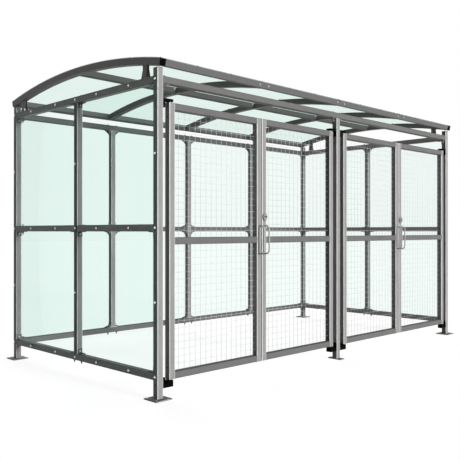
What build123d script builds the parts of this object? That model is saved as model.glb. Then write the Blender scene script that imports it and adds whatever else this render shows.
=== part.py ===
from build123d import *
import os
from math import asin, cos, degrees, hypot, radians, sin, sqrt

os.makedirs("parts", exist_ok=True)

# Bike shelter, a walk-in cycle compound. Millimetres, +Z up, front towards -Y.
# The origin is on the ground, at the middle of the overall footprint.

# Overall sizes, measured over the outer faces of the posts
length = 4100
depth = 2065
post_top = 2250

# Square tube that every frame member is cut from
tube = 50
wall = 3
corner = 5

# Wall frames
post_above_rail = 50
rail_above_ground = 130

# Base plates under the posts
plate = 138
plate_thick = 8
plate_hole = 7
plate_edge = 19
slim_lip = 3

# Roof, a shallow barrel on a circle
roof_radius = 4971
roof_gap = 9.5
roof_overhang = 28

# Clear sheet of the walls and the roof
sheet = 4
sheet_lap = 15
sheet_edge = 7.5
corner_edge = 2
sheet_gap = 4

# Cleats, angle brackets in the corners between rails and uprights
cleat_leg = 55
cleat_rise = 40
cleat_width = 40
cleat_thick = 5

# Folded brackets that carry the roof on the side walls
bracket_from_post = 160
bracket_foot = 46
bracket_head = 20
bracket_taper = 62
bracket_length = 50
bracket_wall = 4

# Black plastic caps
cap_lip = 3
cap_depth = 20
cap_slack = 0.2

# Gates, two pairs of leaves between the posts
hinge_gap = 54
meeting_gap = 8
gate_ground_gap = 124
gate_header_gap = 123
stile_plate = 6

# Pivots of the leaves
pin_radius = 8
pin_clearance = 0.1
pin_length = 30
leaf_clearance = 5
arm_past_pin = 9
leg_thick = 16
lower_arm = 25
lower_leg_over = 23
boss_length = 54
boss_height = 19
upper_arm = 18
upper_leg_over = 41

# Mesh of the leaves
wire = 4
cells_across = 4
cells_up = 6

# Pull handles
handle_length = 218
handle_reach = 54
handle_radius = 6
handle_bend = 32

# Locks, one on the right leaf of each pair
lock_above_mid = 180
lock_width = 42
lock_height = 60
lock_depth = 18
lock_edge = 6
key_recess = 28
key_recess_height = 11
key_recess_depth = 6

# Positions that follow from the sizes above
plate_reach = (plate - tube) / 2
mid_y = (handle_reach + handle_radius - plate_reach) / 2
front_y = mid_y - depth / 2 + tube / 2
rear_y = mid_y + depth / 2 - tube / 2
side_x = length / 2 - tube / 2
bay = 2 * side_x / 4
inner_xs = [-bay, 0, bay]

top_rail = post_top - post_above_rail - tube / 2
bottom_rail = rail_above_ground + tube / 2
mid_rail = (top_rail + bottom_rail) / 2

soffit_radius = roof_radius - tube
roof_centre = post_top + cap_lip + roof_gap - sqrt(soffit_radius**2 - (depth / 2) ** 2)
roof_half_angle = degrees(asin((depth / 2 + roof_overhang) / roof_radius))
beam_angle = roof_half_angle - degrees(tube / 2 / roof_radius)
beam_radius = 2 * roof_radius - tube / 2 - hypot(roof_radius, tube / 2)
roof_axis = Axis((0, mid_y, roof_centre), (1, 0, 0))


def section():
    """The square tube's section, for the sketch that is open."""
    RectangleRounded(tube, tube, corner)
    Rectangle(tube - 2 * wall, tube - 2 * wall, mode=Mode.SUBTRACT)


def tube_up(low, high, x, y):
    """An upright length of tube, added to the part that is open."""
    with BuildSketch(Plane.XY.offset(low)) as profile:
        with Locations((x, y)):
            section()
    extrude(profile.sketch, amount=high - low)


def tube_across(left, right, y, z):
    """A length of tube along X, added to the part that is open."""
    with BuildSketch(Plane.YZ.offset(left)) as profile:
        with Locations((y, z)):
            section()
    extrude(profile.sketch, amount=right - left)


def tube_back(front, rear, x, z):
    """A length of tube along Y, added to the part that is open."""
    with BuildSketch(Plane.XZ.offset(-front)) as profile:
        with Locations((x, z)):
            section()
    extrude(profile.sketch, amount=front - rear)


def save(part, name):
    """Label a finished piece and write its file."""
    part.label = name
    export_step(part, f"parts/{name}.step")


# Posts, each welded to its base plate
def corner_post(x, y):
    """A post on its base plate, added to the part that is open."""
    with BuildSketch(Plane.XY) as foot:
        with Locations((x, y)):
            Rectangle(plate, plate)
            with GridLocations(plate - 2 * plate_edge, plate - 2 * plate_edge, 2, 2):
                Circle(plate_hole, mode=Mode.SUBTRACT)
    extrude(foot.sketch, amount=plate_thick)
    tube_up(plate_thick, post_top, x, y)


with BuildPart() as front_left_post:
    corner_post(-side_x, front_y)
save(front_left_post.part, "front_left_post")

with BuildPart() as front_right_post:
    corner_post(side_x, front_y)
save(front_right_post.part, "front_right_post")

with BuildPart() as rear_left_post:
    corner_post(-side_x, rear_y)
save(rear_left_post.part, "rear_left_post")

with BuildPart() as rear_right_post:
    corner_post(side_x, rear_y)
save(rear_right_post.part, "rear_right_post")

# The middle post stands under the header on a plate little wider than itself
with BuildPart() as front_middle_post:
    with BuildSketch(Plane.XY):
        with Locations((0, front_y)):
            Rectangle(tube + 2 * slim_lip, plate)
            with GridLocations(0, plate - 2 * plate_edge, 1, 2):
                Circle(plate_hole, mode=Mode.SUBTRACT)
    extrude(amount=plate_thick)
    tube_up(plate_thick, top_rail - tube / 2, 0, front_y)
save(front_middle_post.part, "front_middle_post")

# Front header over both gateways
inner_x = side_x - tube / 2
with BuildPart() as front_header:
    tube_across(-inner_x, inner_x, front_y, top_rail)
save(front_header.part, "front_header")

# Side walls: three rails, and one upright between top and bottom rail
inner_front = front_y + tube / 2
inner_rear = rear_y - tube / 2
upright_low = bottom_rail + tube / 2
upright_high = top_rail - tube / 2

for name, x in (("left", -side_x), ("right", side_x)):
    with BuildPart() as side_top_rail:
        tube_back(inner_front, inner_rear, x, top_rail)
    save(side_top_rail.part, f"{name}_top_rail")

    with BuildPart() as side_bottom_rail:
        tube_back(inner_front, inner_rear, x, bottom_rail)
    save(side_bottom_rail.part, f"{name}_bottom_rail")

    with BuildPart() as side_upright:
        tube_up(upright_low, upright_high, x, mid_y)
    save(side_upright.part, f"{name}_upright")

    with BuildPart() as side_mid_rail:
        tube_back(inner_front, mid_y - tube / 2, x, mid_rail)
        tube_back(mid_y + tube / 2, inner_rear, x, mid_rail)
    save(side_mid_rail.part, f"{name}_mid_rail")

# Rear wall: the same three rails, with three uprights
with BuildPart() as rear_top_rail:
    tube_across(-inner_x, inner_x, rear_y, top_rail)
save(rear_top_rail.part, "rear_top_rail")

with BuildPart() as rear_bottom_rail:
    tube_across(-inner_x, inner_x, rear_y, bottom_rail)
save(rear_bottom_rail.part, "rear_bottom_rail")

with BuildPart() as rear_uprights:
    for x in inner_xs:
        tube_up(upright_low, upright_high, x, rear_y)
save(rear_uprights.part, "rear_uprights")

bay_lefts = [-side_x, -bay, 0, bay]
with BuildPart() as rear_mid_rail:
    for x in bay_lefts:
        tube_across(x + tube / 2, x + bay - tube / 2, rear_y, mid_rail)
save(rear_mid_rail.part, "rear_mid_rail")

# Cleats, bolted under the upper rails and on top of the bottom rails
def cleat(plane, side, up):
    """An angle in the corner at the plane's origin; side and up say where it lies."""
    with BuildSketch(plane) as profile:
        with Locations((side * cleat_leg / 2, up * cleat_thick / 2)):
            Rectangle(cleat_leg, cleat_thick)
        with Locations((side * cleat_thick / 2, up * cleat_rise / 2)):
            Rectangle(cleat_thick, cleat_rise)
    extrude(profile.sketch, amount=cleat_width / 2, both=True)


rail_faces = (
    (top_rail - tube / 2, -1),
    (mid_rail - tube / 2, -1),
    (bottom_rail + tube / 2, 1),
)
with BuildPart() as cleats:
    for z, up in rail_faces:
        for x in [-side_x, *inner_xs, side_x]:
            for side in (-1, 1):
                if abs(x + side) < side_x:
                    corner_x = x + side * tube / 2
                    origin = (corner_x, rear_y, z)
                    cleat(Plane(origin=origin, x_dir=(1, 0, 0), z_dir=(0, -1, 0)), side, up)
        for x in (-side_x, side_x):
            for y, side in ((front_y, 1), (mid_y, -1), (mid_y, 1), (rear_y, -1)):
                origin = (x, y + side * tube / 2, z)
                cleat(Plane(origin=origin, x_dir=(0, 1, 0), z_dir=(1, 0, 0)), side, up)
    for x, side in ((-side_x, 1), (0, -1), (0, 1), (side_x, -1)):
        corner_x = x + side * tube / 2
        origin = (corner_x, front_y, top_rail - tube / 2)
        cleat(Plane(origin=origin, x_dir=(1, 0, 0), z_dir=(0, -1, 0)), side, -1)
save(cleats.part, "cleats")

# Clear wall sheets, bolted to the outer faces of the frame
sheet_bottom = bottom_rail - sheet_lap
sheet_top = top_rail + sheet_lap
wall_x = length / 2
wall_front = front_y - tube / 2 + sheet_edge
wall_rear = rear_y + tube / 2 - sheet_edge


def upright_sheet(low_x, high_x, low_y, high_y):
    """An upright sheet seen in plan, added to the part that is open."""
    with BuildSketch(Plane.XY.offset(sheet_bottom)) as plan:
        with Locations(((low_x + high_x) / 2, (low_y + high_y) / 2)):
            Rectangle(high_x - low_x, high_y - low_y)
    extrude(plan.sketch, amount=sheet_top - sheet_bottom)


with BuildPart() as left_wall_sheet:
    upright_sheet(-wall_x - sheet, -wall_x, wall_front, wall_rear)
save(left_wall_sheet.part, "left_wall_sheet")

with BuildPart() as right_wall_sheet:
    upright_sheet(wall_x, wall_x + sheet, wall_front, wall_rear)
save(right_wall_sheet.part, "right_wall_sheet")

rear_face = rear_y + tube / 2
with BuildPart() as rear_wall_sheets:
    upright_sheet(-wall_x + corner_edge, -sheet_gap / 2, rear_face, rear_face + sheet)
    upright_sheet(sheet_gap / 2, wall_x - corner_edge, rear_face, rear_face + sheet)
save(rear_wall_sheets.part, "rear_wall_sheets")


# Roof frame: bent tubes from eaves to fascia, cut square to their curve
def roof_point(radius, angle):
    """Y and Z of a point at this radius, this many degrees behind the crown."""
    turn = radians(angle)
    return mid_y + radius * sin(turn), roof_centre + radius * cos(turn)


def arch(x):
    """A bent tube over the whole depth of the roof, added to the open part."""
    y, z = roof_point(roof_radius - tube / 2, -roof_half_angle)
    along = (0, cos(radians(roof_half_angle)), sin(radians(roof_half_angle)))
    with BuildSketch(Plane(origin=(x, y, z), x_dir=(1, 0, 0), z_dir=along)) as profile:
        Rectangle(tube, tube)
        Rectangle(tube - 2 * wall, tube - 2 * wall, mode=Mode.SUBTRACT)
    revolve(profile.sketch, axis=roof_axis, revolution_arc=-2 * roof_half_angle)


def beam_plane(angle, left):
    """The upright plane at x = left, tilted with the roof at this angle."""
    y, z = roof_point(beam_radius, angle)
    turn = radians(angle)
    return Plane(origin=(left, y, z), x_dir=(0, cos(turn), -sin(turn)), z_dir=(1, 0, 0))


def roof_beam(angle, left, right):
    """A straight tube along X, lying in the curve of the roof."""
    with BuildSketch(beam_plane(angle, left)) as profile:
        section()
    extrude(profile.sketch, amount=right - left)


with BuildPart() as left_arch:
    arch(-side_x)
save(left_arch.part, "left_arch")

with BuildPart() as right_arch:
    arch(side_x)
save(right_arch.part, "right_arch")

# The inner ribs butt against the inner faces of the fascia and the eaves beam
with BuildPart() as inner_arches:
    for x in inner_xs:
        arch(x)
    for side in (-1, 1):
        with BuildSketch(beam_plane(side * beam_angle, -length / 2)):
            with Locations((side * tube / 2, 0)):
                Rectangle(2 * tube, 2 * tube)
        extrude(amount=length, mode=Mode.SUBTRACT)
save(inner_arches.part, "inner_arches")

with BuildPart() as front_fascia:
    roof_beam(-beam_angle, -inner_x, inner_x)
save(front_fascia.part, "front_fascia")

with BuildPart() as rear_eaves_beam:
    roof_beam(beam_angle, -inner_x, inner_x)
save(rear_eaves_beam.part, "rear_eaves_beam")

with BuildPart() as roof_purlins:
    for x in bay_lefts:
        roof_beam(0, x + tube / 2, x + bay - tube / 2)
save(roof_purlins.part, "roof_purlins")

# Clear roof sheets, screwed down on the arches and beams
with BuildPart() as roof_sheets:
    y, z = roof_point(roof_radius + sheet / 2, -roof_half_angle)
    along = (0, cos(radians(roof_half_angle)), sin(radians(roof_half_angle)))
    sheet_width = length / 2 - sheet_gap / 2
    with BuildSketch(Plane(origin=(0, y, z), x_dir=(1, 0, 0), z_dir=along)):
        with GridLocations(sheet_width + sheet_gap, 0, 2, 1):
            Rectangle(sheet_width, sheet)
    revolve(axis=roof_axis, revolution_arc=-2 * roof_half_angle)
save(roof_sheets.part, "roof_sheets")

# Folded brackets that carry the roof on the side walls, wide at the foot and
# narrow at the head, which is rolled to the underside of the arch
bracket_low = top_rail + tube / 2
bracket_high = roof_centre + roof_radius
bracket_spots = [
    (x, mid_y + side * (depth / 2 - bracket_from_post)) for x in (-side_x, side_x) for side in (-1, 1)
]


def bracket_prism(x, y, half_length, skin):
    """A tapered prism along Y, set in by this much from the bracket's outside."""
    foot = bracket_foot / 2 - skin
    head = bracket_head / 2 - skin
    with BuildSketch(Plane.XZ.offset(-y)) as profile:
        with BuildLine():
            Polyline(
                (x - foot, bracket_low + skin),
                (x + foot, bracket_low + skin),
                (x + head, bracket_low + bracket_taper),
                (x + head, bracket_high),
                (x - head, bracket_high),
                (x - head, bracket_low + bracket_taper),
                close=True,
            )
        make_face()
    extrude(profile.sketch, amount=half_length, both=True)


def trim_above(radius):
    """Cut away what rises over this radius of the roof's curve."""
    with BuildSketch(Plane.YZ.offset(-length)) as space:
        with Locations((mid_y, roof_centre)):
            Circle(2 * roof_radius)
            Circle(radius, mode=Mode.SUBTRACT)
    extrude(space.sketch, amount=2 * length, mode=Mode.SUBTRACT)


with BuildPart() as bracket_hollows:
    for x, y in bracket_spots:
        bracket_prism(x, y, bracket_length, bracket_wall)
    trim_above(soffit_radius - bracket_wall)

with BuildPart() as roof_brackets:
    for x, y in bracket_spots:
        bracket_prism(x, y, bracket_length / 2, 0)
    trim_above(soffit_radius)
    add(bracket_hollows.part, mode=Mode.SUBTRACT)
save(roof_brackets.part, "roof_brackets")

# Black plastic caps in the open ends of posts and end arches
cap_plug = tube - 2 * wall - 2 * cap_slack
with BuildPart() as end_caps:
    for x in (-side_x, side_x):
        for y in (front_y, rear_y):
            with BuildSketch(Plane.XY.offset(post_top)):
                with Locations((x, y)):
                    RectangleRounded(tube, tube, corner)
            extrude(amount=cap_lip)
            with BuildSketch(Plane.XY.offset(post_top)):
                with Locations((x, y)):
                    Rectangle(cap_plug, cap_plug)
            extrude(amount=-cap_depth)
    for x in (-side_x, side_x):
        for side in (-1, 1):
            y, z = roof_point(roof_radius - tube / 2, side * roof_half_angle)
            turn = radians(side * roof_half_angle)
            out = (0, side * cos(turn), -side * sin(turn))
            end = Plane(origin=(x, y, z), x_dir=(1, 0, 0), z_dir=out)
            with BuildSketch(end):
                Rectangle(tube, tube)
            extrude(amount=cap_lip)
            with BuildSketch(end):
                Rectangle(cap_plug, cap_plug)
            extrude(amount=-cap_depth)
save(end_caps.part, "end_caps")

# Gates. A leaf hangs on two pins in line with its hinge stile.
opening_left = {1: -inner_x, 2: tube / 2}
opening_right = {1: -tube / 2, 2: inner_x}
leaf_width = (inner_x - tube / 2 - 2 * hinge_gap - meeting_gap) / 2
leaf_bottom = gate_ground_gap
leaf_top = top_rail - tube / 2 - gate_header_gap
leaf_mid = (leaf_bottom + leaf_top) / 2
gate_front = front_y - tube / 2


def pivot_x(post_face, side):
    """X of a leaf's pins; side is 1 for a leaf that reaches right from its post."""
    return post_face + side * (hinge_gap + tube / 2)


# Pivot brackets on the posts: a black L under and over each hinge stile
def block(post_face, side, near, far, low, high):
    """A block between two distances from the post, as deep as the tube."""
    with BuildSketch(Plane.XY.offset(low)) as plan:
        with Locations((post_face + side * (near + far) / 2, front_y)):
            Rectangle(far - near, tube)
    extrude(plan.sketch, amount=high - low)


def pin(x, low, high):
    """An upright pin on the leaf's axis, added to the part that is open."""
    with BuildSketch(Plane.XY.offset(low)) as round_bar:
        with Locations((x, front_y)):
            Circle(pin_radius)
    extrude(round_bar.sketch, amount=high - low)


arm_end = hinge_gap + tube / 2 + arm_past_pin
boss_top = leaf_bottom - leaf_clearance
lower_arm_top = boss_top - boss_height
lower_arm_low = lower_arm_top - lower_arm
upper_arm_low = leaf_top + leaf_clearance


def lower_bracket(post_face, side):
    """The bracket under a leaf: leg, arm, raised boss and pin."""
    block(post_face, side, 0, leg_thick, lower_arm_low, leaf_bottom + lower_leg_over)
    block(post_face, side, 0, arm_end, lower_arm_low, lower_arm_top)
    block(post_face, side, arm_end - boss_length, arm_end, lower_arm_top, boss_top)
    pin(pivot_x(post_face, side), boss_top, boss_top + pin_length)


def upper_bracket(post_face, side):
    """The bracket over a leaf: leg, arm and pin."""
    block(post_face, side, 0, leg_thick, leaf_top - upper_leg_over, upper_arm_low + upper_arm)
    block(post_face, side, 0, arm_end, upper_arm_low, upper_arm_low + upper_arm)
    pin(pivot_x(post_face, side), upper_arm_low - pin_length, upper_arm_low)


# Both leaves of both gates, and the brackets that they hang on
rail_zs = (leaf_bottom + tube / 2, leaf_mid, leaf_top - tube / 2)
panels = ((leaf_bottom + tube, leaf_mid - tube / 2), (leaf_mid + tube / 2, leaf_top - tube))

for gate in (1, 2):
    hands = (("left", opening_left[gate], 1), ("right", opening_right[gate], -1))

    with BuildPart() as pivots:
        for hand, face, side in hands:
            lower_bracket(face, side)
            upper_bracket(face, side)
    save(pivots.part, f"gate_{gate}_pivots")

    for hand, face, side in hands:
        pin_x = pivot_x(face, side)
        closing_x = face + side * (hinge_gap + leaf_width - tube / 2)
        rail_low = min(pin_x, closing_x) + tube / 2
        rail_high = max(pin_x, closing_x) - tube / 2

        with BuildPart() as leaf_frame:
            tube_up(leaf_bottom, leaf_top, pin_x, front_y)
            for z in (leaf_bottom, leaf_top - stile_plate):
                with BuildSketch(Plane.XY.offset(z)):
                    with Locations((pin_x, front_y)):
                        Rectangle(tube - 2 * wall, tube - 2 * wall)
                        Circle(pin_radius + pin_clearance, mode=Mode.SUBTRACT)
                extrude(amount=stile_plate)
            tube_up(leaf_bottom, leaf_top, closing_x, front_y)
            for z in rail_zs:
                tube_across(rail_low, rail_high, front_y, z)
        save(leaf_frame.part, f"gate_{gate}_{hand}_frame")

        # Welded mesh in the two panels of the leaf
        width = rail_high - rail_low
        with BuildPart() as mesh:
            for low, high in panels:
                height = high - low
                with BuildSketch(Plane.XZ.offset(-front_y)):
                    with Locations(((rail_low + rail_high) / 2, (low + high) / 2)):
                        with GridLocations(width / cells_across, 0, cells_across - 1, 1):
                            Rectangle(wire, height)
                        with GridLocations(0, height / cells_up, 1, cells_up - 1):
                            Rectangle(width, wire)
                extrude(amount=wire / 2, both=True)
        save(mesh.part, f"gate_{gate}_{hand}_mesh")

        # Pull handle, a bent bar welded to the closing stile
        handle_y = gate_front - handle_reach
        handle_low = leaf_mid - handle_length / 2
        handle_high = leaf_mid + handle_length / 2
        with BuildPart() as handle:
            with BuildLine():
                FilletPolyline(
                    (closing_x, gate_front, handle_low),
                    (closing_x, handle_y, handle_low),
                    (closing_x, handle_y, handle_high),
                    (closing_x, gate_front, handle_high),
                    radius=handle_bend,
                )
            with BuildSketch(Plane(origin=(closing_x, gate_front, handle_low), z_dir=(0, -1, 0))):
                Circle(handle_radius)
            sweep()
        save(handle.part, f"gate_{gate}_{hand}_handle")

        # Lock case on the right leaf's closing stile, its keyhole in a level recess
        if hand == "right":
            case_z = leaf_mid + lock_above_mid
            with BuildPart() as lock:
                with BuildSketch(Plane.XZ.offset(-gate_front)):
                    with Locations((closing_x, case_z)):
                        SlotOverall(lock_height, lock_width, rotation=90)
                extrude(amount=lock_depth)
                case_face = lock.faces().sort_by(Axis.Y)[0]
                chamfer(case_face.edges(), lock_edge)
                with BuildSketch(Plane.XZ.offset(lock_depth - gate_front)):
                    with Locations((closing_x, case_z)):
                        SlotOverall(key_recess, key_recess_height)
                extrude(amount=-key_recess_depth, mode=Mode.SUBTRACT)
            save(lock.part, f"gate_{gate}_right_lock")
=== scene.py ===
import bmesh
import bpy
from math import asin, cos, pi, radians, sin
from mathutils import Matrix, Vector


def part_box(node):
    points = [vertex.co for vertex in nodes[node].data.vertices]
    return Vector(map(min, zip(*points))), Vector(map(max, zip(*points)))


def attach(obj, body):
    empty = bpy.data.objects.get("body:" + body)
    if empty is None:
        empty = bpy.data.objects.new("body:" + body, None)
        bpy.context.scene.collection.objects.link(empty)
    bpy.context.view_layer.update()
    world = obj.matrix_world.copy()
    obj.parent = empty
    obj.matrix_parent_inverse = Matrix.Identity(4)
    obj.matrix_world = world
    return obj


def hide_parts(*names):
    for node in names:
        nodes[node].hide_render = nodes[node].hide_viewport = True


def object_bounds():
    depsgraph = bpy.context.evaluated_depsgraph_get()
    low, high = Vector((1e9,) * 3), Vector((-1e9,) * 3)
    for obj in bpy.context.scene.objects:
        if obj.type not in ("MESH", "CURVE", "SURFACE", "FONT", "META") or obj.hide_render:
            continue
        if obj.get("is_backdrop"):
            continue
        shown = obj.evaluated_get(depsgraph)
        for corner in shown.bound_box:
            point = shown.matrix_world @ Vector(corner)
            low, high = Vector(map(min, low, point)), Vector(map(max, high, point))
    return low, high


# Bike shelter, in metres, +Z up, front towards -Y
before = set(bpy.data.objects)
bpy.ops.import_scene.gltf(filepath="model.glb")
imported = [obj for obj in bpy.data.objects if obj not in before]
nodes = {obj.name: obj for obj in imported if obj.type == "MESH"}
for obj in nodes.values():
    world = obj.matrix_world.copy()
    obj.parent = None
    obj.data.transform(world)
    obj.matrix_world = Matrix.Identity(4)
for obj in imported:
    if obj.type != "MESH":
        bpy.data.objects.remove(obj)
scene = bpy.context.scene
cad_low, cad_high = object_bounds()


# Camera
# A normal lens at chest height, off the front left corner of the shelter. It is
# placed from the axis of the front left post.
def centre(node):
    """The middle of a CAD node's box."""
    low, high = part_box(node)
    return (low + high) / 2


camera_offset = (-2.78754, -3.51132)
camera_height = 1.14384
camera_turn = (radians(90.085), 0, radians(-44.695))
camera_lens = 51.36
sensor_width = 36

post_axis = centre("front_left_post")
camera = bpy.data.objects.new("camera", bpy.data.cameras.new("camera"))
camera.location = (post_axis.x + camera_offset[0], post_axis.y + camera_offset[1], camera_height)
camera.rotation_euler = camera_turn
camera.data.lens = camera_lens
camera.data.sensor_width = sensor_width
scene.collection.objects.link(camera)
scene.camera = camera


# Posts and wall uprights
# Square structural tube, hot-dip galvanised after it was cut and drilled. The
# zinc is a soft cloudy grey with faint crystals. Its colour also carries painted
# light and shade: a painted highlight on upright corners, painted shade along
# level edges and painted shade on tops.
class Signal:
    """A socket of a node tree. Signals and numbers meet in plain Python sums."""

    def __init__(self, graph, socket):
        self.graph = graph
        self.socket = socket

    def math(self, operation, first, second=0.0):
        return self.graph.node("ShaderNodeMath", {"operation": operation}, {0: first, 1: second})

    def __add__(self, other):
        return self.math("ADD", self, other)

    def __radd__(self, other):
        return self.math("ADD", other, self)

    def __sub__(self, other):
        return self.math("SUBTRACT", self, other)

    def __rsub__(self, other):
        return self.math("SUBTRACT", other, self)

    def __mul__(self, other):
        return self.math("MULTIPLY", self, other)

    def __rmul__(self, other):
        return self.math("MULTIPLY", other, self)

    def __truediv__(self, other):
        return self.math("DIVIDE", self, other)

    def __lt__(self, other):
        return self.math("LESS_THAN", self, other)

    def __gt__(self, other):
        return self.math("GREATER_THAN", self, other)

    def __abs__(self):
        return self.math("ABSOLUTE", self)

    def larger(self, other):
        return self.math("MAXIMUM", self, other)

    def sine(self):
        return self.math("SINE", self)


class Graph:
    """A node tree that is written as expressions."""

    def __init__(self, tree):
        self.tree = tree

    def node(self, kind, settings=None, sockets=None, out=0):
        """A node with its settings made first, then its values and links; gives one output."""
        made = self.tree.nodes.new(kind)
        for key, value in (settings or {}).items():
            setattr(made, key, value)
        for key, value in (sockets or {}).items():
            if isinstance(value, Signal):
                self.tree.links.new(value.socket, made.inputs[key])
            else:
                made.inputs[key].default_value = value
        return Signal(self, made.outputs[out]) if made.outputs else None

    def colour(self, amount, first, second):
        """A colour between two colours."""
        return self.node("ShaderNodeMix", {"data_type": "RGBA"}, {0: amount, 6: first, 7: second}, 2)

    def axes(self, vector):
        """The three parts of a vector."""
        split = self.node("ShaderNodeSeparateXYZ", sockets={0: vector})
        return [Signal(self, socket) for socket in split.socket.node.outputs]

    def noise(self, place, scale, detail):
        """Soft noise from 0 to 1, of this many marks a metre."""
        sockets = {"Vector": place, "Scale": scale, "Detail": detail}
        return self.node("ShaderNodeTexNoise", sockets=sockets)

    def ramp(self, value, low, high):
        """0 under the low value, 1 over the high one, even between them."""
        return self.node("ShaderNodeMapRange", sockets={"Value": value, "From Min": low, "From Max": high})


def new_material(name):
    """An empty material and the graph of its nodes."""
    material = bpy.data.materials.new(name)
    material.use_nodes = True
    material.node_tree.nodes.clear()
    return material, Graph(material.node_tree)


# Ramps of the masks for the painted highlight on upright corners, the painted shade along level edges and
# the painted shade on tops.
upright_bend = (0.02, 0.30)
level_bend = (0.3, 0.9)
top_tilt = (0.7, 0.95)


def corners(graph):
    """How far a face is an upright corner, a level corner and a top, each from 0 to 1; these are the masks
    of the painted highlight, the painted edge shade and the painted top shade.

    Of the upright corners only the halves towards the front and the rear count; these carry the painted
    highlight.
    """
    normal = graph.node("ShaderNodeNewGeometry", out="Normal")
    turns = graph.axes(normal)
    x, y, z = (abs(part) for part in turns)
    upright = graph.ramp(2 * x * y, *upright_bend) * (y > x)
    level = graph.ramp(2 * z * x.larger(y), *level_bend)
    top = graph.ramp(turns[2], *top_tilt)
    return upright, level, top


# Painted highlight: its colour and share on upright corners. Painted shade: the next two shares, along
# level edges and on tops.
painted_highlight_zinc = (0.95, 0.95, 0.94, 1)
painted_highlight_share = 0.92
edge_shade_share = 0.8
top_shade_share = 0.9
cloud_scale = 6.0
line_scale = 260.0
line_stretch = 0.02
spangle_scale = 85.0


def zinc_skin(graph, run, tone):
    """Colour, roughness, metal and height of galvanised steel drawn along this axis; the colour carries a
    painted highlight on upright corners and painted shade on level edges and tops.
    """
    place = graph.node("ShaderNodeTexCoord", out="Object")
    squeeze = [line_stretch if axis == run else 1 for axis in "XYZ"]
    drawn = graph.node("ShaderNodeVectorMath", {"operation": "MULTIPLY"}, {0: place, 1: squeeze})
    clouds = graph.noise(place, cloud_scale, 5.0)
    lines = graph.noise(drawn, line_scale, 3.0)
    crystals = {"Vector": place, "Scale": spangle_scale}
    cells = graph.node("ShaderNodeTexVoronoi", sockets=crystals, out="Color")
    spangle = graph.node("ShaderNodeSeparateColor", sockets={0: cells})
    upright, level, top = corners(graph)
    light = 0.55 * clouds + 0.15 * spangle + 0.30 * lines
    # The last two shades are painted shade, for level edges and for tops.
    shades = [[share * part for part in tone] + [1] for share in (0.80, 1.22, 0.45, 0.38)]
    dull, bright, edge_shade, top_shade = shades
    face = graph.colour(light, dull, bright)
    # Painted highlight on the upright corners, then painted shade along level edges and on tops.
    highlighted = graph.colour(painted_highlight_share * upright, face, painted_highlight_zinc)
    with_edge_shade = graph.colour(edge_shade_share * level, highlighted, edge_shade)
    colour = graph.colour(top_shade_share * top, with_edge_shade, top_shade)
    roughness = 0.40 + 0.10 * spangle + 0.12 * clouds + 0.30 * top
    metal = 0.25 * upright
    height = 0.5 * lines + 0.2 * spangle
    return colour, roughness, metal, height


def galvanised(graph, colour, roughness, metal, height):
    """Finish a galvanised material from the four signals of its skin."""
    normal = graph.node("ShaderNodeBump", sockets={"Strength": 0.12, "Distance": 0.0004, "Height": height})
    shader = graph.node(
        "ShaderNodeBsdfPrincipled",
        sockets={
            "Base Color": colour,
            "Roughness": roughness,
            "Metallic": metal,
            "Specular IOR Level": 0.15,
            "Normal": normal,
        },
    )
    graph.node("ShaderNodeOutputMaterial", sockets={"Surface": shader})


def galvanised_tube(name, run, tone):
    """Galvanised tube that runs along one axis."""
    material, graph = new_material(name)
    galvanised(graph, *zinc_skin(graph, run, tone))
    return material


def dress(material, *names):
    """Give CAD nodes their finish."""
    for name in names:
        mesh = nodes[name].data
        mesh.materials.clear()
        mesh.materials.append(material)


# Painted light: the uprights get a lighter copy of the zinc than the level tubes, for the brighter
# reflection their front faces show.
upright_lit_tone = (0.345, 0.342, 0.336)
upright_lit_zinc = galvanised_tube("upright_lit_zinc", "Z", upright_lit_tone)
posts = ["front_left_post", "front_middle_post", "front_right_post", "rear_left_post", "rear_right_post"]
dress(upright_lit_zinc, *posts, "left_upright", "right_upright", "rear_uprights")

# Rails along the front and the rear
# The same tube laid level between the posts, given a darker copy of the zinc:
# painted shade for the duller reflection that level tubes show.
level_shaded_tone = (0.180, 0.178, 0.175)
level_shaded_zinc = galvanised_tube("level_shaded_zinc", "X", level_shaded_tone)
dress(level_shaded_zinc, "front_header", "rear_top_rail", "rear_mid_rail", "rear_bottom_rail")

# Rails of the side walls, and the cleats
# Tube between the front and rear posts, held by small angle brackets of cut
# flat steel in every corner, all galvanised.
# Painted light: the side rails get a much lighter copy of the zinc, so their shaded outer faces come out
# lighter.
side_lit_tone = (0.55, 0.525, 0.515)
side_lit_zinc = galvanised_tube("side_lit_zinc", "Y", side_lit_tone)
for side in ("left", "right"):
    dress(side_lit_zinc, f"{side}_top_rail", f"{side}_mid_rail", f"{side}_bottom_rail")
cleat_tone = (0.19, 0.19, 0.185)
dress(galvanised_tube("cleat_zinc", "Z", cleat_tone), "cleats")

# Roof frame
# Bent end arches and ribs with a fascia, an eaves beam and short purlins
# between them, carried on folded brackets and bolted together.
arch_tone = (0.32, 0.32, 0.31)
arch_zinc = galvanised_tube("arch_zinc", "Y", arch_tone)
dress(arch_zinc, "left_arch", "right_arch", "inner_arches", "roof_brackets")
dress(level_shaded_zinc, "front_fascia", "rear_eaves_beam")
# Painted shade: the purlins get the darkest copy of the zinc, for the shade under the roof.
purlin_shaded_tone = (0.110, 0.104, 0.101)
dress(galvanised_tube("purlin_shaded_zinc", "X", purlin_shaded_tone), "roof_purlins")


# Clear sheets of the walls and the roof
# Four millimetre polycarbonate with a faint green tint, sawn to size, so its
# edges are greener and duller than its polished faces.
face_tint = (0.50, 0.60, 0.57, 1)
edge_tint = (0.05, 0.12, 0.10, 1)
edge_solid = 0.55
edge_dull = 0.5
thin_film = 0.006
haze_scale = 1.5


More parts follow.
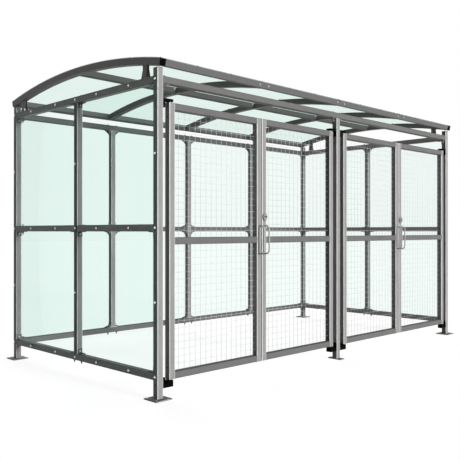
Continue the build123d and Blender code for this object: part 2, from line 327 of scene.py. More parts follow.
def clear_sheet(name, broad, glint, clear):
    """Clear sheet whose broad faces look along one axis, with its glint and its clear tint."""
    material, graph = new_material(name)
    normal = graph.node("ShaderNodeNewGeometry", out="Normal")
    facing = abs(graph.axes(normal)["XYZ".index(broad)])
    edge = facing < 0.5
    place = graph.node("ShaderNodeTexCoord", out="Object")
    clouds = graph.noise(place, haze_scale, 3.0)
    glance = graph.node("ShaderNodeLayerWeight", sockets={"Blend": 0.12}, out="Fresnel")
    film = thin_film + thin_film * clouds + glint * glance
    solid = film + (edge_solid - film) * edge
    tint = graph.colour(edge, face_tint, edge_tint)
    skin = graph.node(
        "ShaderNodeBsdfPrincipled",
        sockets={"Base Color": tint, "Roughness": 0.06 + edge_dull * edge + 0.04 * clouds},
    )
    through = graph.node("ShaderNodeBsdfTransparent", sockets={"Color": clear})
    both = graph.node("ShaderNodeMixShader", sockets={0: solid, 1: through, 2: skin})
    graph.node("ShaderNodeOutputMaterial", sockets={"Surface": both})
    return material


wall_tint = (0.945, 0.985, 0.972, 1)
wall_glint = 0.07
roof_tint = (0.895, 0.958, 0.935, 1)
roof_glint = 0.02
dress(clear_sheet("side_sheet", "X", wall_glint, wall_tint), "left_wall_sheet", "right_wall_sheet")
dress(clear_sheet("rear_sheet", "Y", wall_glint, wall_tint), "rear_wall_sheets")
dress(clear_sheet("roof_sheet", "Z", roof_glint, roof_tint), "roof_sheets")


# End caps and gate pivots
# Moulded black plastic caps pushed into the open tubes, and black powder coated
# brackets, fine grained and matt.
pit_black = (0.001, 0.001, 0.001, 1)
grain_black = (0.003, 0.003, 0.003, 1)


def black_finish(name, grain):
    """Matt black with a fine moulded or sprayed grain of this many marks a metre."""
    material, graph = new_material(name)
    place = graph.node("ShaderNodeTexCoord", out="Object")
    pebble = graph.noise(place, grain, 2.0)
    colour = graph.colour(pebble, pit_black, grain_black)
    normal = graph.node("ShaderNodeBump", sockets={"Strength": 0.3, "Distance": 0.0003, "Height": pebble})
    shader = graph.node(
        "ShaderNodeBsdfPrincipled",
        sockets={
            "Base Color": colour,
            "Roughness": 0.5 + 0.15 * pebble,
            "Specular IOR Level": 0.02,
            "Normal": normal,
        },
    )
    graph.node("ShaderNodeOutputMaterial", sockets={"Surface": shader})
    return material


cap_plastic = black_finish("cap_plastic", grain=900.0)
dress(cap_plastic, "end_caps")
pivot_coat = black_finish("pivot_coat", grain=500.0)
dress(pivot_coat, "gate_1_pivots", "gate_2_pivots")

# Gate leaves
# Welded frames of the same tube, galvanised whole. The stiles get the posts'
# painted lighter tone and highlight, the rails the header's painted darker tone.
leaves = [f"gate_{gate}_{hand}" for gate in (1, 2) for hand in ("left", "right")]
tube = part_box("left_upright")[1].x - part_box("left_upright")[0].x


def leaf_finish(leaf):
    """Zinc of one leaf: the painted darker level tone between its stiles, the painted lighter upright tone
    on them.
    """
    material, graph = new_material(f"{leaf}_zinc")
    low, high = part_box(f"{leaf}_frame")
    place = graph.node("ShaderNodeTexCoord", out="Object")
    across = graph.axes(place)[0]
    between = (across > low.x + tube) * (across < high.x - tube)
    stile = zinc_skin(graph, "Z", upright_lit_tone)
    rail = zinc_skin(graph, "X", level_shaded_tone)
    colour = graph.colour(between, stile[0], rail[0])
    roughness, metal, height = (a + (b - a) * between for a, b in zip(stile[1:], rail[1:]))
    galvanised(graph, colour, roughness, metal, height)
    return material


for leaf in leaves:
    dress(leaf_finish(leaf), f"{leaf}_frame")


# Welded mesh in the gate leaves
# Galvanised wire of 2 mm on a pitch of about 50 mm, level wires welded behind
# upright ones, and every end welded to the frame.
class Shaper(Graph):
    """A geometry tree with named inputs, ending in real faces of one material."""

    def __init__(self, name, inputs):
        super().__init__(bpy.data.node_groups.new(name, "GeometryNodeTree"))
        face = self.tree.interface
        face.new_socket("Start", in_out="INPUT", socket_type="NodeSocketGeometry")
        for label, kind in {**inputs, "Finish": "Material"}.items():
            face.new_socket(label, in_out="INPUT", socket_type=f"NodeSocket{kind}")
        face.new_socket("Result", in_out="OUTPUT", socket_type="NodeSocketGeometry")
        entry = self.tree.nodes.new("NodeGroupInput")
        self.given = {socket.name: Signal(self, socket) for socket in entry.outputs if socket.name}

    def chance(self, low, high, seed):
        """A random number between two values for each point."""
        sockets = {2: low, 3: high, "Seed": seed}
        return self.node("FunctionNodeRandomValue", {"data_type": "FLOAT"}, sockets, out=1)

    def deliver(self, instances):
        """Turn instances into faces with the finish, as the tree's result."""
        real = self.node("GeometryNodeRealizeInstances", sockets={0: instances})
        dressed = self.node("GeometryNodeSetMaterial", sockets={0: real, "Material": self.given["Finish"]})
        self.node("NodeGroupOutput", sockets={0: dressed})

    def shape(self, name, start, values, body, slot):
        """The plain object that the tree makes of a start mesh, riding on a body."""
        piece = bpy.data.objects.new(name, start)
        scene.collection.objects.link(piece)
        modifier = piece.modifiers.new(self.tree.name, "NODES")
        modifier.node_group = self.tree
        for item in self.tree.interface.items_tree:
            if item.name in values:
                modifier[item.identifier] = values[item.name]
        graph = bpy.context.evaluated_depsgraph_get()
        made = bpy.data.meshes.new_from_object(piece.evaluated_get(graph), depsgraph=graph)
        piece.modifiers.clear()
        piece.data = made
        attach(piece, body)
        return piece


def points_mesh(name, points, axes=None):
    """A mesh of loose points, each with the axis that its copy stands along."""
    mesh = bpy.data.meshes.new(name)
    mesh.from_pydata(points, [], [])
    if axes:
        attribute = mesh.attributes.new("axis", "FLOAT_VECTOR", "POINT")
        for item, axis in zip(attribute.data, axes):
            item.vector = axis
    return mesh


def moved(graph, geometry, offset, turn=(0, 0, 0)):
    """Geometry moved and turned."""
    sockets = {"Geometry": geometry, "Translation": offset, "Rotation": turn}
    return graph.node("GeometryNodeTransform", sockets=sockets)


def vector(graph, x=0.0, y=0.0, z=0.0):
    """A vector of numbers or signals."""
    return graph.node("ShaderNodeCombineXYZ", sockets={0: x, 1: y, 2: z})


def wire_row(graph, count, step, start, wire, turn):
    """A row of turned wires, one step apart."""
    line = graph.node("GeometryNodeMeshLine", sockets={"Count": count, "Offset": step})
    placed = moved(graph, line, start)
    bar = moved(graph, wire, (0, 0, 0), turn)
    return graph.node("GeometryNodeInstanceOnPoints", sockets={"Points": placed, "Instance": bar})


wire_sides = 8
wire_seat = 0.9


def mesh_shaper():
    """Tree that puts one panel of welded mesh on each start point."""
    inputs = {"Width": "Float", "Height": "Float", "Across": "Int", "Up": "Int", "Wire Radius": "Float"}
    graph = Shaper("welded_mesh", inputs)
    width, height, across, up, radius = (graph.given[label] for label in inputs)
    both = graph.tree.nodes.new("GeometryNodeJoinGeometry")
    for length, span, cells, level in ((height, width, across, False), (width, height, up, True)):
        bar = graph.node(
            "GeometryNodeMeshCylinder",
            sockets={"Vertices": wire_sides, "Radius": radius, "Depth": length},
        )
        pitch = span / cells
        first = pitch - span / 2
        depth = radius * (wire_seat if level else -wire_seat)
        step = vector(graph, z=pitch) if level else vector(graph, x=pitch)
        start = vector(graph, y=depth, z=first) if level else vector(graph, x=first, y=depth)
        turn = (0, radians(90), 0) if level else (0, 0, 0)
        row = wire_row(graph, cells - 1, step, start, bar, turn)
        graph.tree.links.new(row.socket, both.inputs[0])
    real = graph.node("GeometryNodeRealizeInstances", sockets={0: Signal(graph, both.outputs[0])})
    smooth = graph.node("GeometryNodeSetShadeSmooth", sockets={0: real})
    panels = graph.node(
        "GeometryNodeInstanceOnPoints", sockets={"Points": graph.given["Start"], "Instance": smooth}
    )
    graph.deliver(panels)
    return graph


fitting_scale = 120.0


def plain_finish(name, dull, bright, roughness, metallic=0.0, gloss=0.35):
    """A small fitting's finish, slightly cloudy."""
    material, graph = new_material(name)
    place = graph.node("ShaderNodeTexCoord", out="Object")
    clouds = graph.noise(place, fitting_scale, 3.0)
    shader = graph.node(
        "ShaderNodeBsdfPrincipled",
        sockets={
            "Base Color": graph.colour(clouds, (*dull, 1), (*bright, 1)),
            "Metallic": metallic,
            "Roughness": roughness + 0.1 * clouds,
            "Specular IOR Level": gloss,
        },
    )
    graph.node("ShaderNodeOutputMaterial", sockets={"Surface": shader})
    return material


wire_zinc = plain_finish("wire_zinc", (0.80, 0.81, 0.80), (0.90, 0.91, 0.90), roughness=0.30)
wire_radius = 0.001
wire_bite = 0.001
cells_across = 16
cells_up = 18
mesh_tree = mesh_shaper()
for leaf in leaves:
    low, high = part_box(f"{leaf}_mesh")
    middle = (low + high) / 2
    panel_height = (high.z - low.z - tube) / 2
    centres = [(middle.x, middle.y, middle.z + side * (panel_height + tube) / 2) for side in (-1, 1)]
    sizes = {
        "Width": high.x - low.x + 2 * wire_bite,
        "Height": panel_height + 2 * wire_bite,
        "Across": cells_across,
        "Up": cells_up,
        "Wire Radius": wire_radius,
        "Finish": wire_zinc,
    }
    name = f"{leaf}_wires"
    piece = mesh_tree.shape(name, points_mesh(name, centres), sizes, leaf, "galvanised_steel")
    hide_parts(f"{leaf}_mesh")


# Welds
# Rippled beads of weld, galvanised over, where the posts stand on their plates,
# where the leaves' rails meet their stiles and round the feet of the handles.
bead_radius = 0.0022
bead_sides = 6
bead_ripple = 0.004
ripple_steps = 3
ripple_swell = 0.18
bead_uneven = 0.15
tube_corner = 0.005
handle_foot = 0.006
plate_top = 0.008


def weld_shaper():
    """Tree that lays a rippled bead along each start edge."""
    inputs = {"Bead": "Float", "Ripple": "Float", "Seed": "Int"}
    graph = Shaper("weld_beads", inputs)
    bead, ripple, seed = (graph.given[label] for label in inputs)
    path = graph.node("GeometryNodeMeshToCurve", sockets={0: graph.given["Start"]})
    fine = graph.node(
        "GeometryNodeResampleCurve", {"mode": "LENGTH"}, {"Curve": path, "Length": ripple / ripple_steps}
    )
    along = graph.node("GeometryNodeSplineParameter", out="Length")
    wave = (along * (2 * pi) / ripple).sine()
    uneven = graph.chance(-bead_uneven, bead_uneven, seed)
    ring = graph.node(
        "GeometryNodeCurvePrimitiveCircle", {"mode": "RADIUS"}, {"Resolution": bead_sides, "Radius": bead}
    )
    swell = 1 + ripple_swell * wave + uneven
    tubes = graph.node(
        "GeometryNodeCurveToMesh",
        sockets={"Curve": fine, "Profile Curve": ring, "Scale": swell, "Fill Caps": True},
    )
    graph.deliver(graph.node("GeometryNodeSetShadeSmooth", sockets={0: tubes}))
    return graph


def round_loop(middle, first, second, half, corner, steps=3):
    """Points round a square with rounded corners, in the plane of two directions."""
    points = []
    for quarter in range(4):
        for step in range(steps):
            turn = pi / 2 * (quarter + step / (steps - 1))
            side = pi / 2 * quarter + pi / 4
            shift = (half - corner) * 2**0.5
            along = corner * cos(turn) + shift * cos(side)
            across = corner * sin(turn) + shift * sin(side)
            points.append(middle + along * first + across * second)
    return points


def welds(name, loops, body):
    """One piece of weld beads that run round these closed loops."""
    points = []
    edges = []
    for loop in loops:
        start = len(points)
        points += loop
        edges += [(start + index, start + (index + 1) % len(loop)) for index in range(len(loop))]
    mesh = bpy.data.meshes.new(name)
    mesh.from_pydata(points, edges, [])
    values = {"Bead": bead_radius, "Ripple": bead_ripple, "Seed": len(points), "Finish": weld_zinc}
    return weld_tree.shape(name, mesh, values, body, "galvanised_steel")


along_x, along_y, along_z = Vector((1, 0, 0)), Vector((0, 1, 0)), Vector((0, 0, 1))
weld_zinc = plain_finish("weld_zinc", (0.26, 0.26, 0.25), (0.40, 0.40, 0.39), roughness=0.45)
weld_tree = weld_shaper()

feet = []
for post in posts:
    axis = centre(post)
    axis.z = plate_top
    feet.append(round_loop(axis, along_x, along_y, tube / 2, tube_corner))
welds("post_welds", feet, "frame")

for leaf in leaves:
    low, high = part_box(f"{leaf}_frame")
    middle = (low + high) / 2
    joints = []
    for end in (low.x + tube, high.x - tube):
        for z in (low.z + tube / 2, middle.z, high.z - tube / 2):
            spot = Vector((end, middle.y, z))
            joints.append(round_loop(spot, along_y, along_z, tube / 2, tube_corner))
    handle_low, handle_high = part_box(f"{leaf}_handle")
    for z in (handle_low.z + handle_foot, handle_high.z - handle_foot):
        spot = Vector(((handle_low.x + handle_high.x) / 2, handle_high.y, z))
        joints.append(round_loop(spot, along_x, along_z, handle_foot, handle_foot))
    welds(f"{leaf}_welds", joints, leaf)

# Handles and locks
# Bent round bar welded to the closing stiles, and a cast lock case on one leaf
# of each pair, its keyhole behind a black flap. All are zinc plated, as are the
# thin face plates on the two stiles, in the gap between them.
plate_zinc = plain_finish(
    "plate_zinc", (0.50, 0.50, 0.49), (0.62, 0.62, 0.61), roughness=0.24, gloss=0.45
)
for leaf in leaves:
    dress(plate_zinc, f"{leaf}_handle")
lock_zinc = plain_finish("lock_zinc", (0.34, 0.34, 0.33), (0.44, 0.44, 0.43), roughness=0.34)
dress(lock_zinc, "gate_1_right_lock", "gate_2_right_lock")


def finished(name, work, finish, body):
    """The object that a work mesh ends as, with its normals outward."""
    bmesh.ops.recalc_face_normals(work, faces=work.faces)
    mesh = bpy.data.meshes.new(name)
    work.to_mesh(mesh)
    work.free()
    mesh.materials.append(finish)
    piece = bpy.data.objects.new(name, mesh)
    scene.collection.objects.link(piece)
    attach(piece, body)
    return piece


edge_steps = 3


def blocks(name, boxes, edge, finish, body):
    """One piece of blocks with rounded edges, each between two corners."""
    work = bmesh.new()
    for low, high in boxes:
        for vertex in bmesh.ops.create_cube(work, size=1)["verts"]:
            place = [(a + b) / 2 + part * (b - a) for a, b, part in zip(low, high, vertex.co)]
            vertex.co = Vector(place)
    bmesh.ops.bevel(
        work, geom=work.edges, offset=edge, segments=edge_steps, profile=0.5, affect="EDGES"
    )
    return finished(name, work, finish, body)


flap_width = 0.024
flap_height = 0.0085
flap_out = 0.0025
flap_edge = 0.001
recess_floor = 0.012
face_plate_thick = 0.001
face_plate_width = 0.036
face_plate_height = 0.052
face_plate_edge = 0.0003
for gate in (1, 2):
    right = f"gate_{gate}_right"
    left = f"gate_{gate}_left"
    low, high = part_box(f"{right}_lock")
    middle = (low + high) / 2
    flap_low = (middle.x - flap_width / 2, high.y - recess_floor - flap_out, middle.z - flap_height / 2)
    flap_high = (middle.x + flap_width / 2, high.y - recess_floor, middle.z + flap_height / 2)
    flap_box = (flap_low, flap_high)
    blocks(f"{right}_key_flap", [flap_box], flap_edge, cap_plastic, right)
    for leaf, face, side in (
        (left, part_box(f"{left}_frame")[1].x, 1),
        (right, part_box(f"{right}_frame")[0].x, -1),
    ):
        x_span = sorted((face, face + side * face_plate_thick))
        stile_y = centre(f"{leaf}_frame").y
        plate_box = [
            (x, stile_y + end * face_plate_width / 2, middle.z + end * face_plate_height / 2)
            for x, end in zip(x_span, (-1, 1))
        ]
        blocks(f"{leaf}_lock_plate", [plate_box], face_plate_edge, plate_zinc, leaf)


# Wall screws
# Domed screws with a washer, driven through the sheets into the tubes: along
# each rail on every upright and 300 mm to each side of it, and half way between
# the rails on the uprights.
crease = radians(40)


def turned(name, parts):
    """A mesh of closed turned solids, each an outline of radius and height with its sides."""
    work = bmesh.new()
    for outline, sides in parts:
        rings = []
        for radius, height in outline:
            count = sides if radius else 1
            angles = [2 * pi * index / sides for index in range(count)]
            rings.append([work.verts.new((radius * cos(a), radius * sin(a), height)) for a in angles])
        for low, high in zip(rings, rings[1:]):
            for index in range(sides):
                after = (index + 1) % sides
                around = [low[index % len(low)], low[after % len(low)]]
                around += [high[after % len(high)], high[index % len(high)]]
                work.faces.new(list(dict.fromkeys(around)))
    bmesh.ops.recalc_face_normals(work, faces=work.faces)
    mesh = bpy.data.meshes.new(name)
    work.to_mesh(mesh)
    work.free()
    mesh.shade_smooth()
    mesh.set_sharp_from_angle(angle=crease)
    return mesh


def dome(radius, height, foot, steps=4):
    """Outline of a domed head that stands on the height of its foot."""
    bend = [pi / 2 * step / steps for step in range(steps + 1)]
    return [(radius * sin(a) if a else 0, foot + height * cos(a)) for a in bend]


def fastener_shaper():
    """Tree that stands a copy of one fastener on each start point, along its axis."""
    graph = Shaper("fasteners", {"Fastener": "Object", "Spin Seed": "Int"})
    model = graph.node(
        "GeometryNodeObjectInfo",
        {"transform_space": "ORIGINAL"},
        {"Object": graph.given["Fastener"]},
        out="Geometry",
    )
    axis = graph.node("GeometryNodeInputNamedAttribute", {"data_type": "FLOAT_VECTOR"}, {"Name": "axis"})
    spin = graph.chance(0.0, 2 * pi, graph.given["Spin Seed"])
    twist = graph.node("FunctionNodeAxisAngleToRotation", sockets={"Axis": (0, 0, 1), "Angle": spin})
    stand = graph.node(
        "FunctionNodeAlignRotationToVector", {"axis": "Z"}, {"Rotation": twist, "Vector": axis}
    )
    copies = graph.node(
        "GeometryNodeInstanceOnPoints",
        sockets={"Points": graph.given["Start"], "Instance": model, "Rotation": stand},
    )
    graph.deliver(copies)
    return graph


def fasteners(name, parts, spots, finish, body="frame", slot="plated_steel"):
    """One piece of like fasteners; a spot is a place and the axis that its head looks along."""
    model = bpy.data.objects.new(f"{name}_model", turned(f"{name}_model", parts))
    start = points_mesh(name, [place for place, axis in spots], [axis for place, axis in spots])
    values = {"Fastener": model, "Spin Seed": len(spots), "Finish": finish}
    piece = fastener_tree.shape(name, start, values, body, slot)
    bpy.data.objects.remove(model)
    return piece


fastener_tree = fastener_shaper()
round_sides = 16
head_radius = 0.0085
head_height = 0.006
washer_radius = 0.0095
washer_thick = 0.0015
shank_radius = 0.003
shank_length = 0.012
screw_parts = [
    (
        [
            *dome(head_radius, head_height, washer_thick),
            (washer_radius, washer_thick),
            (washer_radius, 0),
            (shank_radius, 0),
            (shank_radius, -shank_length),
            (0, -shank_length),
        ],
        round_sides,
    )
]
screw_finish = plain_finish(
    "screw_zinc", (0.84, 0.84, 0.83), (0.95, 0.95, 0.94), roughness=0.2, metallic=0.35, gloss=0.8
)

bolt_pitch = 0.300
rail_levels = [centre(f"left_{name}_rail").z for name in ("top", "mid", "bottom")]
top_level, mid_level, bottom_level = rail_levels
between_levels = [(top_level + mid_level) / 2, (mid_level + bottom_level) / 2]
side_ys = [centre("front_left_post").y, centre("left_upright").y, centre("rear_left_post").y]
front_y, mid_y, rear_y = side_ys
side_xs = [centre("rear_left_post").x, centre("rear_right_post").x]
bay = (side_xs[1] - side_xs[0]) / 4
rear_xs = [side_xs[0] + bay * index for index in range(5)]


def screw_run(places):
    """Places along a rail: every upright, and a pitch to each side of it."""
    run = set()
    for place in places:
        for step in (-bolt_pitch, 0, bolt_pitch):
            if places[0] <= place + step <= places[-1]:
                run.add(round(place + step, 4))
    return sorted(run)


wall_spots = []
for side, node in ((-1, "left_wall_sheet"), (1, "right_wall_sheet")):
    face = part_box(node)[0 if side < 0 else 1].x
    for z in rail_levels:
        wall_spots += [((face, y, z), (side, 0, 0)) for y in screw_run(side_ys)]
    for z in between_levels:
        wall_spots += [((face, y, z), (side, 0, 0)) for y in side_ys]
rear_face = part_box("rear_wall_sheets")[1].y
for z in rail_levels:
    wall_spots += [((x, rear_face, z), (0, 1, 0)) for x in screw_run(rear_xs)]
for z in between_levels:
    wall_spots += [((x, rear_face, z), (0, 1, 0)) for x in rear_xs]
fasteners("wall_screws", screw_parts, wall_spots, screw_finish)

# Roof screws
# The same screws down through the roof sheets: along every arch and rib, in two
# rows beside the seam over the middle one, and two to a bay over the fascia, the
# purlins and the eaves beam.
roof_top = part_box("roof_sheets")[1].z
roof_edge = max((vertex.co for vertex in nodes["roof_sheets"].data.vertices), key=lambda co: co.y)
edge_reach = roof_edge.y - mid_y
edge_drop = roof_top - roof_edge.z
roof_radius = (edge_reach**2 + edge_drop**2) / (2 * edge_drop)
beam_angle = asin(edge_reach / roof_radius) - tube / 2 / roof_radius
arc_steps = 6
beam_steps = 3
seam_offset = 0.0135


def roof_spot(x, angle):
    """A place on the roof and the way out of it, this far round from the crown."""
    out = (0, sin(angle), cos(angle))
    return (x, mid_y + roof_radius * out[1], roof_top - roof_radius + roof_radius * out[2]), out


roof_spots = []
for x in (side_xs[0], -bay, -seam_offset, seam_offset, bay, side_xs[1]):
    for step in range(arc_steps + 1):
        roof_spots.append(roof_spot(x, beam_angle * (2 * step / arc_steps - 1)))
for left in rear_xs[:-1]:
    for step in range(1, beam_steps):
        for angle in (-beam_angle, 0, beam_angle):
            roof_spots.append(roof_spot(left + bay * step / beam_steps, angle))
fasteners("roof_screws", screw_parts, roof_spots, screw_finish)


# Bolts of the roof frame and of the pivots
# Hexagon bolts with a washer: two in the fascia and two in the eaves beam, one
# on each side of a rib, one in the purlin on its left, and one in each pivot
# bracket's leg.
hex_sides = 6
crown_share = 0.8
chamfer_share = 0.88


def hex_head(radius, height, washer, washer_height):
    """Solids of a hexagon head with its chamfer, and of its washer."""
    crown = crown_share * radius
    chamfer = chamfer_share * height
    low = washer_height
    head = [(0, low + height), (crown, low + height), (radius, low + chamfer), (radius, low), (0, low)]
    disc = [(0, low), (washer, low), (washer, 0), (0, 0)]
    return [(head, hex_sides), (disc, round_sides)]


bolt_head = 0.0075
bolt_head_height = 0.0053
bolt_washer = 0.008
bolt_washer_height = 0.0016
frame_bolt = hex_head(bolt_head, bolt_head_height, bolt_washer, bolt_washer_height)
bolt_finish = plain_finish("bolt_zinc", (0.52, 0.52, 0.51), (0.70, 0.70, 0.69), roughness=0.25)
from_rib = 0.050
purlin_bolt_rise = 0.010

ribs = rear_xs[1:-1]
frame_spots = []
for node, side in (("front_fascia", -1), ("rear_eaves_beam", 1)):
    out = Vector((0, side * cos(beam_angle), -sin(beam_angle)))
    face = centre(node) + tube / 2 * out
    for rib in ribs:
        for step in (-from_rib, from_rib):
            frame_spots.append(((rib + step, face.y, face.z), tuple(out)))
purlin_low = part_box("roof_purlins")[0]
purlin_middle = centre("roof_purlins")
for rib in ribs:
    frame_spots.append(((rib - from_rib, purlin_low.y, purlin_middle.z + purlin_bolt_rise), (0, -1, 0)))
fasteners("roof_bolts", frame_bolt, frame_spots, bolt_finish)

leg_thick = 0.016
pivot_bolt_rise = 0.012
pivot_bolt_drop = 0.018
pivot_spots = []
leaf_low, leaf_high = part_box("gate_1_left_frame")
for face, side in (
    (side_xs[0] + tube / 2, 1),
    (-tube / 2, -1),
    (tube / 2, 1),
    (side_xs[1] - tube / 2, -1),
):
    for z in (leaf_low.z + pivot_bolt_rise, leaf_high.z - pivot_bolt_drop):
        pivot_spots.append(((face + side * leg_thick, front_y, z), (side, 0, 0)))
fasteners("pivot_bolts", frame_bolt, pivot_spots, pivot_coat, slot="black_plastic")

# Upper cleats, cheeks and lips
# Cut and folded flat steel. At the rear uprights the middle rail has a second
# set of cleats on top, every cleat there has two cheeks, and a narrow lip joins
# each pair of cleats across the inner face of its upright.
cleat_thick = 0.005
cleat_reach = 0.110
cleat_half = 0.020
cleat_room = 0.022
cleat_zinc = nodes["cleats"].data.materials[0]

# The upper cleats mirror those under the middle rail at the inner rear uprights.
work = bmesh.new()
work.from_mesh(nodes["cleats"].data)
others = [
    vertex
    for vertex in work.verts
    if abs(vertex.co.z - mid_level) > cleat_reach
    or abs(vertex.co.y - rear_y) > cleat_room
    or abs(vertex.co.x) > bay + cleat_reach
]
bmesh.ops.delete(work, geom=others, context="VERTS")
for vertex in work.verts:
    vertex.co.z = 2 * mid_level - vertex.co.z
finished("upper_cleats", work, cleat_zinc, "frame")

rear_seats = [(top_level, -1), (mid_level, -1), (mid_level, 1), (bottom_level, 1)]
rear_corners = []
for level, up in rear_seats:
    for x in rear_xs:
        for side in (-1, 1):
            if side_xs[0] < x + side < side_xs[1]:
                rear_corners.append((Vector((x, rear_y, level)), side * along_x, up))

cheek_thick = 0.003
cheek_tip = 0.005
cheek_leg = 0.046
cheek_rise = 0.021
cheek_top_rise = 0.035
work = bmesh.new()
for joint, away, up in rear_corners:
    if abs(joint.x) > bay + tube:
        continue
    rise = up * along_z
    reach = cheek_top_rise if joint.z > mid_level + tube else cheek_rise
    corner = joint + tube / 2 * (away + rise)
    outline = [
        corner,
        corner + cheek_leg * away,
        corner + cheek_leg * away + cheek_tip * rise,
        corner + reach * rise + cheek_tip * away,
        corner + reach * rise,
    ]
    for near, far in ((-cleat_half, -cleat_half + cheek_thick), (cleat_half - cheek_thick, cleat_half)):
        rings = [[work.verts.new(point + depth * along_y) for point in outline] for depth in (near, far)]
        for ring in rings:
            work.faces.new(ring)
        for index in range(len(outline)):
            pair = [(index + step) % len(outline) for step in (0, 1)]
            work.faces.new([rings[0][pair[0]], rings[0][pair[1]], rings[1][pair[1]], rings[1][pair[0]]])
finished("cleat_cheeks", work, cleat_zinc, "frame")

lip_reach = 0.026
lip_out = 0.006
lip_edge = 0.001
lip_half = tube / 2 + lip_reach
lip_zinc = plain_finish("lip_zinc", (0.62, 0.62, 0.61), (0.74, 0.74, 0.73), roughness=0.35)
inner_y = rear_y - tube / 2
lips = []
for level, up in rear_seats:
    foot = level + up * tube / 2
    z_span = sorted((foot, foot + up * cleat_thick))
    for x in ribs:
        lips.append(((x - lip_half, inner_y - lip_out, z_span[0]), (x + lip_half, inner_y, z_span[1])))
    for x in side_xs:
        inward = -1 if x > 0 else 1
        inner_x = x + inward * tube / 2
        x_span = sorted((inner_x, inner_x + inward * lip_out))
        lips.append(((x_span[0], mid_y - lip_half, z_span[0]), (x_span[1], mid_y + lip_half, z_span[1])))
blocks("cleat_lips", lips, lip_edge, lip_zinc, "frame")

# Bolts of the cleats
# Long dark bolts with nuts go through the rear rails, the header and the side
# walls' top and bottom rails beside the middle upright. Short domed bolts go
# into the posts, the uprights and the side rails.
tail = 0.024
long_head = 0.0095
long_head_height = 0.0064
long_washer = 0.0105
long_washer_height = 0.0020
shank = 0.005
nut_height = 0.008
thread_pitch = 0.0015
thread_depth = 0.0008
thread_sides = 10


def slab(radius, low, high):
    """Outline of a flat disc or nut between two heights."""
    return [(0, high), (radius, high), (radius, low), (0, low)]


def thread(low, high):
    """Outline of a threaded end between two heights, from the top down."""
    outline = [(0, high)]
    for ridge in range(round((high - low) / thread_pitch)):
        crest = high - thread_pitch * (ridge + 0.5)
        outline += [(shank, crest), (shank - thread_depth, crest - thread_pitch / 2)]
    return outline + [(0, outline[-1][1])]


def rail_bolt(grip):
    """Solids of a long bolt with its washers and nut, round a grip of this length."""
    washer_low = -grip - long_washer_height
    nut_low = washer_low - nut_height
    return hex_head(long_head, long_head_height, long_washer, long_washer_height) + [
        (slab(long_washer, washer_low, -grip), round_sides),
        (slab(long_head, nut_low, washer_low), hex_sides),
        (thread(-grip - tail, nut_low), thread_sides),
    ]


leg_bolt_radius = 0.007
leg_bolt_height = 0.004
leg_bolt_sides = 14
leg_bolt = [([*dome(leg_bolt_radius, leg_bolt_height, 0.0), (0, 0)], leg_bolt_sides)]
along_bolt = 0.026
leg_bolt_rise = 0.020
dark_bolt = plain_finish("dark_bolt_zinc", (0.07, 0.07, 0.07), (0.12, 0.12, 0.12), roughness=0.35)

front_corners = [
    (Vector((x, front_y, top_level)), side * along_x, -1)
    for x, side in ((side_xs[0], 1), (0, -1), (0, 1), (side_xs[1], -1))
]
side_corners = [
    (Vector((x, y, level)), side * along_y, up)
    for x in side_xs
    for level, up in ((top_level, -1), (mid_level, -1), (bottom_level, 1))
    for y, side in ((front_y, 1), (mid_y, -1), (mid_y, 1), (rear_y, -1))
]
every_corner = rear_corners + front_corners + side_corners

# The corner posts of the side walls have no long bolt.
rail_spots = []
mid_spots = []
for joint, away, up in every_corner:
    spot = joint + (tube / 2 + along_bolt) * away
    if abs(away.y) and abs(joint.y - mid_y) > tube:
        continue
    if abs(joint.z - mid_level) < tube:
        if up > 0 and abs(away.x):
            mid_spots.append((spot + (tube / 2 + cleat_thick) * along_z, tuple(along_z)))
    else:
        seat = tube / 2 + (cleat_thick if up > 0 else 0)
        rail_spots.append((spot + seat * along_z, tuple(along_z)))

leg_spots = []
for joint, away, up in every_corner:
    rise = up * (tube / 2 + leg_bolt_rise)
    leg_spots.append((joint + (tube / 2 + cleat_thick) * away + rise * along_z, tuple(away)))
for joint, away, up in side_corners:
    seat = up * (tube / 2 + cleat_thick)
    leg_spots.append((joint + (tube / 2 + along_bolt) * away + seat * along_z, (0, 0, up)))
fasteners("cleat_bolts", rail_bolt(tube + cleat_thick), rail_spots, dark_bolt)
fasteners("middle_cleat_bolts", rail_bolt(tube + 2 * cleat_thick), mid_spots, dark_bolt)
fasteners("cleat_screws", leg_bolt, leg_spots, screw_finish)

# Plugs
# Small black plugs in the drain holes that the zinc ran out of: near both ends
# of the hinge stiles, low on the front posts and high on the middle one.
plug_radius = 0.005
plug_height = 0.0012
plug_sides = 12
plug = [([*dome(plug_radius, plug_height, 0.0, steps=3), (0, 0)], plug_sides)]
plug_low = 0.081
plug_high = 0.097
post_plug = 0.099
post_spots = [((x - tube / 2, front_y, post_plug), (-1, 0, 0)) for x in side_xs]
post_spots.append(((-tube / 2, front_y, leaf_high.z - plug_high), (-1, 0, 0)))
fasteners("post_plugs", plug, post_spots, cap_plastic, slot="black_plastic")
for leaf in leaves:
    low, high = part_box(f"{leaf}_frame")
    face, side = (low.x, -1) if leaf.endswith("left") else (high.x, 1)
    plug_spots = [((face, front_y, z), (side, 0, 0)) for z in (low.z + plug_low, high.z - plug_high)]
    fasteners(f"{leaf}_plugs", plug, plug_spots, cap_plastic, leaf, "black_plastic")

# Studio
# A white floor and a white surround, a soft lamp low in front of the shelter and
# two weaker, softer ones behind it and on its right.
ambient = 0.09
floor_shade = 0.30
floor_glow = 0.86
white = (1, 1, 1, 1)


def seen_rays(graph):
    """1 for rays from the camera, from gloss and through glass, 0 for the rest."""
    kinds = ("Camera", "Glossy", "Transmission")
    camera_ray, gloss_ray, glass_ray = (
        graph.node("ShaderNodeLightPath", out=f"Is {kind} Ray") for kind in kinds
    )
    return camera_ray.larger(gloss_ray).larger(glass_ray)


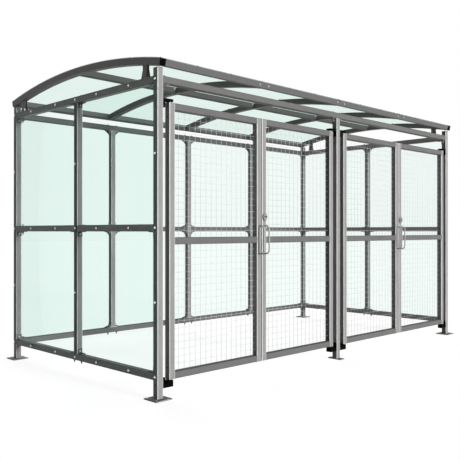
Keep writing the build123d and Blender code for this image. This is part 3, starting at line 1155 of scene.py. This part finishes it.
world = bpy.data.worlds.new("surround")
world.use_nodes = True
world.node_tree.nodes.clear()
scene.world = world
sky = Graph(world.node_tree)
soft = sky.node("ShaderNodeBackground", sockets={"Color": white, "Strength": ambient})
plain = sky.node("ShaderNodeBackground", sockets={"Color": white, "Strength": 1.0})
around = sky.node("ShaderNodeMixShader", sockets={0: seen_rays(sky), 1: soft, 2: plain})
sky.node("ShaderNodeOutputWorld", sockets={"Surface": around})

floor_material, ground = new_material("white_floor")
shade = ground.node("ShaderNodeBsdfDiffuse", sockets={"Color": (floor_shade,) * 3 + (1,)})
glow = ground.node("ShaderNodeEmission", sockets={"Color": white, "Strength": floor_glow})
lit = ground.node("ShaderNodeAddShader", sockets={0: shade, 1: glow})
underfoot = ground.node("ShaderNodeMixShader", sockets={0: seen_rays(ground), 1: shade, 2: lit})
ground.node("ShaderNodeOutputMaterial", sockets={"Surface": underfoot})

floor_reach = 60
floor_corners = [(x * floor_reach, y * floor_reach, 0) for x, y in ((-1, -1), (1, -1), (1, 1), (-1, 1))]
floor_mesh = bpy.data.meshes.new("floor")
floor_mesh.from_pydata(floor_corners, [], [(0, 1, 2, 3)])
floor_mesh.materials.append(floor_material)
floor = bpy.data.objects.new("floor", floor_mesh)
scene.collection.objects.link(floor)
floor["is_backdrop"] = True

lamps = {
    "key_lamp": ((0.10, -1.0, 0.20), 3.0, 14),
    "rear_lamp": ((0.35, 1.0, 0.45), 1.6, 40),
    "right_lamp": ((1.0, 0.1, 0.35), 0.8, 40),
}
for name, (origin, strength, spread) in lamps.items():
    lamp = bpy.data.objects.new(name, bpy.data.lights.new(name, "SUN"))
    lamp.data.energy = strength
    lamp.data.angle = radians(spread)
    lamp.rotation_euler = Vector(origin).to_track_quat("Z", "Y").to_euler()
    scene.collection.objects.link(lamp)

scene.view_settings.view_transform = "Standard"

# Sizes
# The CAD box and the visual model's box, as plain numbers.
low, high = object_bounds()
sizes = {
    "cad": [list(cad_low), list(cad_high)],
    "visual": [list(low), list(high)],
}
